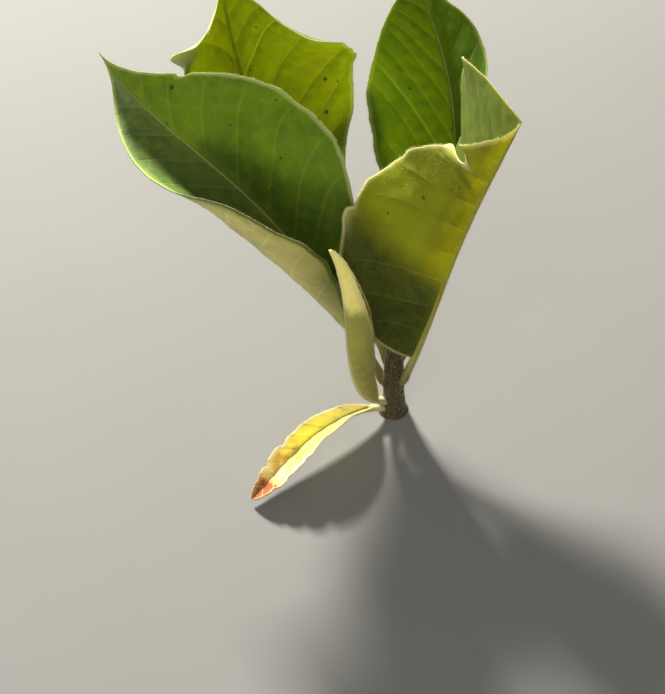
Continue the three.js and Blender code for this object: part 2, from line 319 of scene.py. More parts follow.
LEAVES = [
    {
        "name": "left_leaf",
        "length": 178.5,
        "heading": [130.5, 159, 170, 137.5],
        "rise": [38.5, 82, 6.5, 43.5],
        "roll": [-18, -2.5, -21],
        "petiole": 0.1,
        "radius": [2.3, 0.5],
        "ripple": [1.1, 5],
        "left": blade_half(56, 0.46, 1.66, [-40, 77, -40, 28, 29, -40], [27, 170, 95, 127, 40, -60]),
        "right": blade_half(47.5, 0.563, 2.25, [50.5, 65, 52], [4, 10.5, 0]),
    },
    {
        "name": "back_left_leaf",
        "length": 179.7,
        "heading": [116, 146, 100.5, 128.5],
        "rise": [33.5, 25, 19, 97.5],
        "roll": [4, -3.5, -5],
        "petiole": 0.16,
        "radius": [2.1, 0.5],
        "ripple": [1.6, 5],
        "left": blade_half(44.8, 0.69, 0.92, [43, 17.5, 49.5], [4, -3.5, 7]),
        "right": blade_half(57.3, 0.77, 1.66, [32, 17, 68], [1.5, -3.5, 24.5]),
    },
    {
        "name": "back_leaf",
        "length": 157.7,
        "heading": [51, 64.5, 101, 126.5],
        "rise": [53, 44.5, 40, 40],
        "roll": [-1, -18, -10.5],
        "petiole": 0.16,
        "radius": [2, 0.5],
        "ripple": [1.2, 5],
        "left": blade_half(36.7, 0.63, 0.96, [44.5, 28, 25.5], [3, -1.5, 0.5]),
        "right": blade_half(37.8, 0.47, 0.92, [51, 66, 52], [4, 19, 12.5]),
    },
    {
        "name": "right_leaf",
        "length": 167.5,
        "heading": [-3, -36, -70.5, -25],
        "rise": [73, 88, 67.5, 75.5],
        "roll": [6.5, -18, -5],
        "petiole": 0.1,
        "radius": [2.2, 0.5],
        "ripple": [1.2, 6],
        "left": blade_half(55.5, 0.67, 1.53, [69.5, 30, 87, 53], [-40, -40, 4, -2.5]),
        "right": blade_half(47.1, 0.38, 1, [50, 94, 68], [-13, 43.5, 16.5]),
    },
    {
        "name": "rolled_leaf",
        "length": 111,
        "heading": [222, 233.5, 218.5, 129, 180],
        "rise": [33.5, 85.5, 93, 91, 70],
        "roll": [-0.5, -6, 3],
        "petiole": 0.06,
        "radius": [1.8, 0.5],
        "ripple": [0.3, 4],
        "left": blade_half(12.5, 0.48, 0.64, [15, 9.5, 20], [120, 149.5, 130.5]),
        "right": blade_half(13.5, 0.45, 0.7, [15, 10, 20], [120, 150, 130]),
    },
    {
        "name": "withered_leaf",
        "length": 72.5,
        "heading": [202, 213, 235, 230.5],
        "rise": [20, -3, -15, -9],
        "roll": [-3.5, -0.5, -4],
        "petiole": 0.08,
        "radius": [1.9, 0.5],
        "ripple": [0.6, 4],
        "left": blade_half(15, 0.54, 0.71, [57, 50, 39.5], [-3.5, 0, -6]),
        "right": blade_half(7, 0.53, 0.76, [60.5, 51, 44], [1, 1, -1.5]),
    },
]


def along(values, share):
    """A smooth run through a list of values, from the first at share 0 to the last at share 1."""
    level = [value + 0 * np.asarray(share, float) for value in values]
    while len(level) > 1:
        level = [a + (b - a) * share for a, b in zip(level, level[1:])]
    return level[0]


def course_of(leaf):
    """The midrib's course: at each fine step a point, and the directions across and up."""
    share = np.linspace(0, 1, TRACE_STEPS + 1)
    heading = np.radians(along(leaf["heading"], share))
    rise = np.radians(along(leaf["rise"], share))
    roll = np.radians(along(leaf["roll"], share))[:, None]
    level = np.c_[-np.sin(heading), np.cos(heading), heading * 0]
    ahead = np.c_[np.cos(rise) * np.cos(heading), np.cos(rise) * np.sin(heading), np.sin(rise)]
    top = np.cross(ahead, level)
    across = level * np.cos(roll) + top * np.sin(roll)
    steps = (ahead[1:] + ahead[:-1]) / 2 * leaf["length"] / TRACE_STEPS
    point = np.array(LEAF_FEET[leaf["name"]]) + np.r_[np.zeros((1, 3)), np.cumsum(steps, axis=0)]
    return {"point": point, "across": across, "up": np.cross(ahead, across)}


def read_course(course, key, share):
    """A point or direction of the course at any share of the leaf's length."""
    steps = np.arange(TRACE_STEPS + 1)
    place = np.clip(share, 0, 1) * TRACE_STEPS
    return np.stack([np.interp(place, steps, course[key][:, axis]) for axis in range(3)], axis=-1)


def rib_radius(leaf, share):
    foot, tip = leaf["radius"]
    return foot + (tip - foot) * np.sqrt(share)


def rib_surface(leaf, share, turn):
    """The rib's middle and skin at each share and turn. Past the petiole its upper side lies flat."""
    run = share * leaf["length"]
    radius = rib_radius(leaf, share) * (1 + CLASP_GROWTH * np.exp(-((run / CLASP_REACH) ** 2)))
    radius = radius * np.clip((1 - share) / RIB_END, RIB_END, 1)
    channel = CHANNEL * np.exp(-(((turn - math.pi / 2) / 0.5) ** 2)) * np.clip(1.6 - 3 * share, 0, 1)
    drawn_out = np.c_[np.cos(turn) * 2, np.sin(turn) * 2, run * 0.06]
    strands = STRAND_HEIGHT * unevenness(drawn_out, 0.7, leaf["length"])
    radius = radius * (1 - channel + strands)
    in_blade = np.clip((share - leaf["petiole"]) / 0.2, 0, 1)
    tallness = RIB_FLATNESS - RIB_SINK * in_blade * (np.sin(turn) > 0)
    high = np.sin(turn) * radius * tallness
    across = read_course(courses[leaf["name"]], "across", share)
    up = read_course(courses[leaf["name"]], "up", share)
    heel = np.exp(-((run / HEEL_REACH) ** 2))[:, None]
    foot = np.array(LEAF_FEET[leaf["name"]])
    core = np.array([*STEM_LEAN, STEM_HEIGHT]) * foot[2] / STEM_HEIGHT
    to_heel = (core - foot) / 2 - (0, 0, HEEL_DROP)
    middle = read_course(courses[leaf["name"]], "point", share) + to_heel * heel
    skin = across * (np.cos(turn) * radius)[:, None] + up * high[:, None]
    return middle, middle + skin * (1 - HEEL_SLIMNESS * heel)


def rib_finish(name, foot, ridge, flank, glow, through):
    """Pale watery green with lengthwise strands. In the blade only a narrow ridge stays pale. The
    colours are the foot's, the ridge's and the flank's, and that of the light that comes through."""
    skin = Finish(name)
    run = skin.own("run")
    turn = skin.own("turn")
    strand = skin.node("ShaderNodeCombineXYZ", {}, {"X": run * 0.0002, "Y": turn * 0.004})
    strands = skin.clouds(strand, 0.5)
    patches = skin.clouds(skin.place(), 7)
    colour = skin.tint(strands.ramp(0.3, 0.7), RIB_PAINTS["dark"], RIB_PAINTS["light"])
    colour = skin.tint(patches.ramp(0.45, 0.7) * 0.45, colour, RIB_PAINTS["patch"])
    colour = skin.tint(skin.own("ground") * 0.85, colour, foot)
    in_blade = skin.own("in_blade")
    colour = skin.tint(in_blade * 0.85, colour, ridge)
    aside = abs(abs(turn) - math.pi / 2)
    colour = skin.tint(in_blade * aside.ramp(0.5, 0.9) * 0.85, colour, flank)
    share = in_blade * (through - 0.1) + 0.1
    return skin.close(colour, strands * 0.2 + 0.45, strands, 0.25, 0.1, glow, share)


def add_values(piece, **columns):
    """Gives the mesh named values at its points, for its material to read."""
    for name, values in columns.items():
        column = piece.data.attributes.new(name, "FLOAT", "POINT")
        column.data.foreach_set("value", np.asarray(values, np.float32))


green_rib_skin = rib_finish("green_rib_skin", "#5a4d2a", "#98a844", "#647c1c", "#cfca66", 0.22)
# Painted light: a bright yellow ridge and flank, for the light along the right leaf's edge and through the
# back left leaf's blade round its midrib.
painted_light_rib_skin = rib_finish("painted_light_rib_skin", "#5a4d2a", "#c9c446", "#b8b634", "#f4ea70", 0.72)
low_rib_skin = rib_finish("low_rib_skin", "#d8cc9c", "#e6dfa4", "#dcd488", "#efe79a", 0.35)
RIB_SKINS = {
    "left_leaf": green_rib_skin,
    "back_left_leaf": painted_light_rib_skin,
    "back_leaf": green_rib_skin,
    "right_leaf": painted_light_rib_skin,
    "rolled_leaf": low_rib_skin,
    "withered_leaf": low_rib_skin,
}
courses = {}
for leaf in LEAVES:
    name = leaf["name"]
    courses[name] = course_of(leaf)
    rib = new_tube(f"{name}_rib", RIB_SIDES, RIB_RINGS)
    start = points_of(rib)
    share = (start[:, 2] + 1) / 2
    turn = np.arctan2(start[:, 1], start[:, 0])
    put_points(rib, rib_surface(leaf, share, turn)[1])
    run = share * leaf["length"]
    ground = np.clip(1 - run / 16, 0, 1)
    in_blade = np.clip((share - leaf["petiole"]) / 0.25, 0, 1)
    add_values(rib, run=run, turn=turn, ground=ground, in_blade=in_blade)
    rib.data.materials.append(RIB_SKINS[name])
    bpy.ops.object.shade_smooth_by_angle(angle=math.radians(60))
    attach(rib, "root")
    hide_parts(f"{name}_midrib")

# The green blades: four soft, folded leaves, each one sheet that is joined to its midrib all the
# way. Side veins leave the midrib and arch to the uneven margin, a net of small veins joins them,
# and the flesh between is puffed up a little. The halves are named as seen along the leaf.
BLADE_ROWS = 240
BLADE_COLUMNS = 124
BLADE_THICKNESS = 0.45
RIPPLE_START = 0.35
VEIN_SINK = 0.14
VEIN_REACH = 0.9
VEIN_WANDER = 0.09
VEIN_FAINTNESS = 0.4
PUFF_REACH = 3.5
WAVE_SIZE = 15
QUILT_HEIGHT = 0.22
QUILT_SIZE = 4.5
RAGGEDNESS = 0.02
RAGGED_SIZE = 9
NICK_DEPTH = 0.3
NICK_SIZE = 2.6
BLADES = {
    "left_leaf": {
        "seed": 10,
        "puff": 0.3,
        "waves": 1.0,
        "left": {
            "starts": [0.14, 0.2, 0.27, 0.34, 0.42, 0.5, 0.58, 0.67, 0.76, 0.85, 0.92],
            "slopes": [1.0, 1.1, 1.0],
            "bend": -0.008,
            # On the near half's lower skin these patches take a dark green margin colour and are painted
            # shade there; above they are pale.
            "pale": [(0.68, 0.12, 0.9, 5), (0.34, 0.15, 0.95, 15)],
        },
        "right": {
            "starts": [0.14, 0.2, 0.265, 0.335, 0.4, 0.48, 0.578, 0.672, 0.765, 0.85, 0.92],
            "slopes": [1.2, 1.15, 1.1],
            "bend": -0.0127,
            "bays": [(0.607, 0.05, -1.7), (0.837, 0.01, -2.2)],
        },
        "specks": [(149, -15.5, 1.5), (141, -1, 0.8), (123, -19, 0.7), (102, -22.5, 0.8), (95, -8, 0.9)],
    },
    "back_left_leaf": {
        "seed": 13,
        "puff": 0.35,
        "waves": 1.3,
        "left": {
            "starts": [0.2, 0.28, 0.36, 0.45, 0.54, 0.63, 0.7, 0.79, 0.87, 0.94],
            "slopes": [0.8, 0.7, 1.1],
            "bend": -0.004,
            "bays": [(0.945, 0.012, -4.0)],
            "lifts": [(0.9, 0.022, -8.5)],
            "pale": [(0.895, 0.035, 1.0, 11), (0.965, 0.03, 1.0, 11)],
        },
        "right": {
            "starts": [0.2, 0.27, 0.35, 0.43, 0.51, 0.586, 0.66, 0.74, 0.82, 0.89, 0.95],
            "slopes": [0.9, 0.8, 0.7, 0.6, 0.5, 0.48, 0.8, 1.2, 1.3, 1.4, 1.4],
            "bend": 0.003,
            "bays": [(0.72, 0.02, 1.9), (0.787, 0.025, -2.1), (0.975, 0.02, -2.0)],
            "bold": {5: 0.55, 7: 1.0},
        },
        "specks": [(121, -36.6, 1.3), (106, -29, 1.2), (157, -14.6, 0.8), (136, -4.6, 0.7), (143, 5, 0.7)],
    },
    "back_leaf": {
        "seed": 16,
        "puff": 0.3,
        "waves": 1.1,
        "left": {
            "starts": [0.18, 0.25, 0.32, 0.4, 0.478, 0.57, 0.66, 0.75, 0.84, 0.92],
            "slopes": [1.0, 1.9, 1.9, 0.9],
            "bend": -0.006,
            "bays": [(0.45, 0.03, 0.8)],
            "bold": {4: 0.85},
        },
        "right": {
            "starts": [0.18, 0.26, 0.35, 0.44, 0.53, 0.61, 0.69, 0.775, 0.85, 0.92],
            "slopes": [1.0, 0.9, 0.65],
            "bend": -0.004,
            "bays": [(0.86, 0.04, 2.1)],
        },
        "specks": [(115, 18, 0.8), (96.5, 1.5, 0.7), (124, 21, 0.6)],
    },
    "right_leaf": {
        "seed": 19,
        "puff": 0.3,
        "waves": 1.0,
        "left": {
            "starts": [0.13, 0.2, 0.28, 0.37, 0.46, 0.55, 0.64, 0.73, 0.82, 0.9],
            "slopes": [1.2, 1.1, 0.9],
            "bend": -0.006,
            "bays": [(0.7, 0.015, -1.5), (0.8, 0.012, 1.2)],
        },
        "right": {
            "starts": [0.13, 0.22, 0.31, 0.41, 0.515, 0.61, 0.704, 0.79, 0.87, 0.94],
            "slopes": [0.2, -0.2, -0.45, -0.5, 0.1],
            "bend": -0.002,
            "bays": [(0.39, 0.018, 3.2), (0.53, 0.03, -1.6), (0.585, 0.025, -1.3), (0.786, 0.018, -8)],
            "lifts": [(0.763, 0.01, 2.5), (0.806, 0.008, 2.0)],
            "pale": [(0.39, 0.02, 0.8, 5), (0.775, 0.026, 1.0, 5)],
            # Painted light: a bright green on this half's upper part, fading in from 62 to 76 mm along and
            # from 4 to 14 mm out.
            "lit": (62, 76, 4, 14),
        },
        "specks": [(97, -22, 1.5), (78, -32, 0.7), (119, -9, 0.8), (114, -12, 0.7)],
    },
}
TONES = {
    "left_leaf": {
        "slot": "leaf_green",
        "glow": "#909f14",
        "through": 0.5,
        "upper": ("#587620", "#456018", "#778a24", "#95a444", "#c9ce8a"),
        "lower": ("#6f7a34", "#5f6c2c", "#858840", "#99a058", "#c4bd80"),
    },
    "back_left_leaf": {
        "slot": "leaf_bright",
        "glow": "#b8c028",
        "through": 0.5,
        "upper": ("#5c740c", "#4a650d", "#7b8410", "#96a034", "#bcc486"),
        "lower": ("#7c8a3c", "#6a7832", "#949a48", "#a3aa5e", "#c4c48a"),
    },
    "back_leaf": {
        "slot": "leaf_green",
        "glow": "#a3b41c",
        "through": 0.58,
        "upper": ("#43640c", "#345409", "#62790f", "#7e9232", "#a9a95c"),
        "lower": ("#727e36", "#62702c", "#8a8e44", "#9aa25a", "#c4c48a"),
    },
    # The right leaf's lower skin is painted a dark green as painted shade for the shade over its lower part;
    # the painted light green brightens its upper part. Its upper skin, seen on the far half, is painted
    # paler, partly as a painted sheen.
    "right_leaf": {
        "slot": "leaf_bright",
        "glow": "#cfcb2a",
        "through": 0.6,
        "upper": ("#6f8a34", "#5f7c2c", "#86963c", "#a0aa5c", "#8f9a3c"),
        "lower": ("#3b4509", "#303b09", "#50560d", "#7c7f2a", "#d5cd84"),
    },
}
# The painted light green, laid where a blade carries the painted light mask.
PAINTED_LIGHT_GREEN = "#949b10"
SPECK_BROWN = "#23240c"
# The near half of the left leaf. Its lower skin, the curled strip, is a pale cream: the underside's own
# paleness, raised as painted light for the sun on the strip. Its margin colour there is a dark green,
# painted shade where the strip meets the shaded blade.
NEAR_TONES = {
    "glow": "#e3d9a0",
    "through": 0.45,
    "upper": ("#4f6a26", "#42592a", "#6d7f30", "#879644", "#a3b45e"),
    "lower": ("#cfc470", "#b4b060", "#e0d088", "#efe7b0", "#46541a"),
    "tip": (92, 128, "#a9b45c", 0.0),
}
# Painted shade: near the foot less light comes through, fading between the two distances along down to the
# share given; on the right leaf this is the shade over its lower part, on the left leaf the shade over its
# lower right.
PAINTED_SHADE_DIMMING = {"left_leaf": (120, 50, 0.55), "right_leaf": (78, 60, 0.45)}
NEAR_DIMMING = (60, 100, 0.35)
NEAR_THROUGH_BELOW = 0.16


def half_width(leaf, half, share):
    """How far a half's margin stands from the midrib by the part's rule."""
    part = np.clip((share - leaf["petiole"]) / (1 - leaf["petiole"]), 0, 1)
    widest = half["widest"]
    tip_power = half["fullness"] * (1 - widest) / widest
    swell = (part / widest) ** half["fullness"]
    return half["width"] * swell * ((1 - part) / (1 - widest)) ** tip_power


def margin_of(leaf, make, key, share):
    """The same for the living leaf, whose margin is uneven with bays and lobes, and the plain rule."""
    plain = half_width(leaf, leaf[key], share)
    run = share * leaf["length"]
    row = np.c_[run, run * 0 + len(key) * 9, run * 0]
    seed = make["seed"]
    wander = RAGGEDNESS * plain * unevenness(row, RAGGED_SIZE, seed)
    wander = wander + NICK_DEPTH * unevenness(row, NICK_SIZE, seed + 1)
    for place, reach, depth in make[key].get("bays", []):
        wander = wander + depth * np.exp(-(np.abs((share - place) / reach) ** 3))
    return np.maximum(plain + wander * np.clip(plain / 6, 0, 1), 0.2 * plain), plain


def bumps(places, share):
    """The sum of round bumps, each given by its share, its reach and its height."""
    return sum((high * np.exp(-(((share - at) / reach) ** 2)) for at, reach, high in places), 0 * share)


def half_points(leaf, key, share, out, plain):
    """Points on a half's upper face at distances out from the midrib, and the face's direction."""
    course = courses[leaf["name"]]
    half = leaf[key]
    side = 1 if key == "left" else -1
    reach = out / np.maximum(plain, 1e-6)
    fold = np.radians(along(half["fold"], share))
    turn = np.radians(along(half["curl"], share)) * reach
    chord = out * np.sinc(turn / 2 / math.pi)
    mean = fold + turn / 2
    across = read_course(course, "across", share)
    up = read_course(course, "up", share)
    point = read_course(course, "point", share)
    point = point + across * (side * chord * np.cos(mean))[:, None] + up * (chord * np.sin(mean))[:, None]
    face = across * (-side * np.sin(fold + turn))[:, None] + up * np.cos(fold + turn)[:, None]
    height, waves = leaf["ripple"]
    raise_share = np.clip((reach - RIPPLE_START) / (1 - RIPPLE_START), 0, 1.2)
    wave = np.sin(2 * math.pi * waves * share + side) * raise_share**2 * np.sin(math.pi * share)
    return point + face * (height * wave)[:, None], face


def vein_field(leaf, veins, share, out):
    """For each point the number of the side vein it lies on or between, and the gap between veins.
    A vein starts at a share of the midrib, and slopes and bends towards the tip on its way out."""
    count = len(veins["starts"])
    slopes = np.interp(np.linspace(0, 1, count), np.linspace(0, 1, len(veins["slopes"])), veins["slopes"])
    bow = slopes[:, None] * out + veins["bend"] * out**2
    lines = np.array(veins["starts"])[:, None] + bow / leaf["length"]
    number = np.zeros_like(share)
    gap = np.full_like(share, 8.0)
    for k in range(count - 1):
        space = np.maximum(lines[k + 1] - lines[k], 0.01)
        step = (share - lines[k]) / space
        lowest = -9 if k == 0 else 0
        highest = 9 if k == count - 2 else 1
        number += np.clip(step, lowest, highest)
        inside = (step >= lowest) & (step <= highest)
        gap = np.where(inside, space * leaf["length"] / math.sqrt(1 + slopes[k] ** 2), gap)
    return number, gap


def blade_surface(leaf, make, key, share, reach):
    """A half's living surface: its points, the way it faces, and what its skin has to know there."""
    grown = make[key]
    seed = make["seed"]
    width, plain = margin_of(leaf, make, key, share)
    out = reach * width
    side = 1 if key == "left" else -1
    point, face = half_points(leaf, key, share, out, plain)
    run = share * leaf["length"]
    flat = np.c_[run, side * out, run * 0]
    edge = width - out

    number, gap = vein_field(leaf, grown, share, out)
    number = number + VEIN_WANDER * unevenness(flat, 16, seed + 2)
    near_vein = np.abs(number - np.round(number)) * gap
    strength = np.full(len(grown["starts"]), VEIN_FAINTNESS)
    for place, value in grown.get("bold", {}).items():
        strength[place] = value
    vein = strength[np.clip(np.round(number), 0, len(strength) - 1).astype(int)]

    inland = np.clip(edge / 7, 0, 1) * np.clip(out / 4, 0, 1)
    sink = -VEIN_SINK * np.exp(-((near_vein / VEIN_REACH) ** 2)) * np.clip(edge / 10, 0, 1)
    puffed = make["puff"] * (1 - np.exp(-((near_vein / PUFF_REACH) ** 2))) * inland
    waves = make["waves"] * unevenness(flat, WAVE_SIZE, seed + 3)
    waves = waves * np.clip(1 - edge / 16, 0, 1) * np.clip(out / 10, 0, 1)
    quilt = QUILT_HEIGHT * unevenness(flat, QUILT_SIZE, seed + 4) * inland
    rolled_up = bumps(grown.get("lifts", []), share) * np.clip((reach - 0.6) / 0.4, 0, 1) ** 2
    height = (sink + puffed + waves + quilt + rolled_up) * np.clip(out / 1.5, 0, 1)

    pale = 0 * run
    for at, long, strong, deep in grown.get("pale", []):
        pale = pale + bumps([(at, long, strong)], share) * np.clip(1.2 - edge / deep, 0, 1)
    # Painted light: a mask, from 0 to 1, of where the painted light green is laid on.
    lit = 0 * run
    if "lit" in grown:
        start, end, low, high = grown["lit"]
        lit = np.clip((run - start) / (end - start), 0, 1) * np.clip((out - low) / (high - low), 0, 1)
    values = {"along": run, "across": side * out, "edge": edge, "number": number, "gap": gap}
    values.update(vein=vein, pale=pale, lit=lit)
    return point + face * height[:, None], face, values


def blade_finish(name, tones, specks, under, dimming=None):
    """Leaf skin: satin above with sunk pale veins, matt and paler below with raised ones. Light
    comes through it. Dimming, a painted shade, runs from one distance from the foot to another, and leaves a
    share."""
    skin = Finish(name)
    green, dark, bright, vein, margin = tones["lower" if under else "upper"]
    run = skin.own("along")
    across = skin.own("across")
    edge = skin.own("edge")
    number = skin.own("number")
    gap = skin.own("gap")
    flat = skin.laid_flat(run, across)
    stray = skin.led_astray(flat, 3.5, 1.6)
    patches = skin.clouds(flat, 28)
    mottle = skin.clouds(flat, 5, 4.0)
    grain = skin.clouds(flat, 0.9)
    out = abs(across)
    inland = edge.ramp(0.5, 9.0)
    beside = number.to_line(gap)
    vein_strength = skin.own("vein")
    side_vein = beside.line(0.05, inland * vein_strength * 0.7 + 0.25) * (inland * 0.6 + 0.4) * vein_strength
    flank = beside.ramp(0.4, 1.0) * beside.line(1.0, 2.6) * vein_strength
    rim = edge.line(0.4, skin.clouds(flat, 6) * 2.0 + 1.1)
    pale = skin.own("pale")
    lit = skin.own("lit")
    small = skin.cells(stray, 6.5).line(0.0, 0.055)
    net = skin.cells(stray, 1.7).line(0.0, 0.14)
    colour = skin.tint(patches.ramp(0.38, 0.62), green, dark)
    colour = skin.tint(mottle.ramp(0.42, 0.72) * 0.55, colour, bright)
    colour = skin.tint(grain.ramp(0.4, 0.7) * 0.2, colour, dark)
    # Painted light: the painted light green where the mesh carries its mask; less light comes through there,
    # below.
    colour = skin.tint(lit * (0.95 - mottle * 0.3), colour, PAINTED_LIGHT_GREEN)
    tip_glow = 1.0
    # A tint towards the tip: on the rolled leaf a painted light, bright yellow with less light let through;
    # on the near half a greener tip.
    if under and "tip" in tones:
        start, end, code, extra = tones["tip"]
        tip = (run + (mottle - 0.5) * 8).ramp(start, end)
        colour = skin.tint(tip * 0.9, colour, code)
        tip_glow = 1 + tip * extra
    colour = skin.tint(flank * 0.22, colour, dark)
    colour = skin.tint(net * 0.1 + small * 0.14 + out.line(0.8, 4.5) * 0.2, colour, vein)
    colour = skin.tint(side_vein * 0.75, colour, vein)
    colour = skin.tint(rim * 0.7 + pale * 0.8, colour, margin)
    spots = skin.cells(flat, 13, "F1").line(0.03, 0.05) * skin.clouds(flat, 40).ramp(0.48, 0.54)
    for place, side, size in specks:
        from_spot = skin.node(
            "ShaderNodeVectorMath",
            {"operation": "DISTANCE"},
            {0: stray, 1: ((place + 0.8) * MM, (side + 0.8) * MM, 0.8 * MM)},
            "Value",
        )
        spots = spots + from_spot.line(size * 0.45 * MM, size * MM)
    colour = skin.tint(spots * 0.7, colour, SPECK_BROWN)
    veins = side_vein + small * 0.13 + net * 0.06
    height = veins * (1.0 if under else -1.0) + mottle * 0.3
    roughness = patches * 0.12 + (0.56 if under else 0.46)
    share = mottle * 0.22 + patches * -0.25 + side_vein * 0.3 + flank * -0.07 + small * 0.05 + net * 0.04
    share = share + rim * 0.15 - pale * 0.4 + 0.92
    share = share * (1 - spots * 0.8) * (1 - out.line(0.6, 2.2) * 0.1) * tones["through"]
    # Painted shade: the dimming lets less light through over part of the blade.
    if dimming:
        start, end, least = dimming
        share = share * (1 - run.ramp(start, end) * (1 - least))
    share = share * (1 - lit * 0.5) * tip_glow
    return skin.close(colour, roughness, height, 0.28, 0.05 if under else 0.03, tones["glow"], share)


def new_sheet(name, rows, columns):
    """A flat grid of faces, two units a side, ready to be drawn into a blade."""
    bpy.ops.mesh.primitive_grid_add(x_subdivisions=rows, y_subdivisions=columns, size=2)
    return just_made(name)


def thicken(sheet, thickness):
    """Closes the blade's ends and gives it its thickness downwards, with a skin of its own there."""
    bpy.ops.object.mode_set(mode="EDIT")
    bpy.ops.mesh.select_all(action="SELECT")
    bpy.ops.mesh.remove_doubles(threshold=0.02 * MM)
    bpy.ops.object.mode_set(mode="OBJECT")
    wall = sheet.modifiers.new("wall", "SOLIDIFY")
    wall.thickness = thickness * MM
    wall.offset = -1
    wall.material_offset = len(sheet.data.materials) // 2
    wall.material_offset_rim = wall.material_offset
    bpy.ops.object.modifier_apply(modifier=wall.name)
    bpy.ops.object.shade_smooth()


def draw_blade(leaf, make, rows, columns):
    """One leaf's sheet, drawn from a flat grid whose middle line lies on the midrib."""
    sheet = new_sheet(f"{leaf['name']}_blade", rows, columns)
    start = points_of(sheet)
    share = leaf["petiole"] + (1 - leaf["petiole"]) * (start[:, 0] + 1) / 2
    reach = np.abs(start[:, 1])
    left = start[:, 1] >= 0
    left_point, left_face, left_values = blade_surface(leaf, make, "left", share, reach)
    right_point, right_face, right_values = blade_surface(leaf, make, "right", share, reach)
    put_points(sheet, np.where(left[:, None], left_point, right_point))
    add_values(sheet, **{key: np.where(left, left_values[key], right_values[key]) for key in left_values})
    for face in sheet.data.polygons:
        face.material_index = 0 if start[list(face.vertices), 1].mean() > 0 else 1
    return sheet


def finish_blade(sheet, leaf, skins):
    """Gives a blade its skins: left and right half above, then the same below."""
    for skin in skins:
        sheet.data.materials.append(skin)
    thicken(sheet, BLADE_THICKNESS)
    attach(sheet, "root")
    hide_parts(f"{leaf['name']}_left_blade", f"{leaf['name']}_right_blade")


for leaf in LEAVES[:4]:
    name = leaf["name"]
    specks = BLADES[name]["specks"]
    upper = blade_finish(f"{name}_upper_skin", TONES[name], specks, False, PAINTED_SHADE_DIMMING.get(name))
    lower = blade_finish(f"{name}_lower_skin", TONES[name], specks, True, PAINTED_SHADE_DIMMING.get(name))
    skins = [upper, upper, lower, lower]
    if name == "left_leaf":
        skins[0] = blade_finish("left_leaf_near_upper_skin", NEAR_TONES, [], False, NEAR_DIMMING)
        below = {**NEAR_TONES, "through": NEAR_THROUGH_BELOW}
        skins[2] = blade_finish("left_leaf_near_lower_skin", below, [], True)
    finish_blade(draw_blade(leaf, BLADES[name], BLADE_ROWS, BLADE_COLUMNS), leaf, skins)

# The rolled leaf: a small upright leaf in front, both halves of which are rolled inwards to a
# tube, so that its pale downy underside is outside. It is one sheet on its midrib, as above.
SMALL_ROWS = 170
SMALL_COLUMNS = 70
ROLLED_HALF = {
    "starts": [0.1, 0.17, 0.24, 0.31, 0.38, 0.45, 0.52, 0.59, 0.66, 0.73, 0.8, 0.88, 0.95],
    "slopes": [1.4, 1.2],
    "bend": -0.02,
}
ROLLED_MAKE = {"seed": 30, "puff": 0.2, "waves": 0.35, "left": ROLLED_HALF, "right": ROLLED_HALF}
ROLLED_TONES = {
    "glow": "#e4d850",
    "through": 0.42,
    "upper": ("#b9b52f", "#a3a02c", "#d2c53a", "#cfcc66", "#dcd488"),
    "lower": ("#aeac52", "#989a48", "#c4bd62", "#d6d07c", "#f0e48c"),
    # Painted light: the tip is painted bright yellow and lets less light through, for the sun on the rolled
    # leaf's tip.
    "tip": (76, 86, "#fff08a", -0.8),
}

rolled = LEAVES[4]
sheet = draw_blade(rolled, ROLLED_MAKE, SMALL_ROWS, SMALL_COLUMNS)
upper = blade_finish("rolled_leaf_upper_skin", ROLLED_TONES, [], False)
lower = blade_finish("rolled_leaf_lower_skin", ROLLED_TONES, [], True)
finish_blade(sheet, rolled, [upper, upper, lower, lower])

# The withered leaf: the lowest leaf, which has yellowed and dries from its tip, lying on the
# ground. Its blade is limp and folded to a trough, brown and brittle at the end.
WITHERED_HALF = {
    "starts": [0.1, 0.2, 0.3, 0.4, 0.5, 0.6, 0.7, 0.8, 0.9],
    "slopes": [1.2, 1.0],
    "bend": -0.01,
    "bays": [(0.66, 0.02, -1.2), (0.8, 0.02, -1.4), (0.9, 0.015, -1.0)],
}
WITHERED_MAKE = {"seed": 40, "puff": 0.3, "waves": 0.9, "left": WITHERED_HALF, "right": WITHERED_HALF}
WITHERED_PAINTS = {
    "foot": "#e0d596",
    "blade": "#f6ee74",
    "blotch": "#c98a42",
    "dry": "#d9c78c",
    "tip": "#8a431c",
    "mottle": "#a9842f",
    "vein": "#ebe39a",
    "margin": "#e6dba0",
    "glow": "#f4ee88",
}


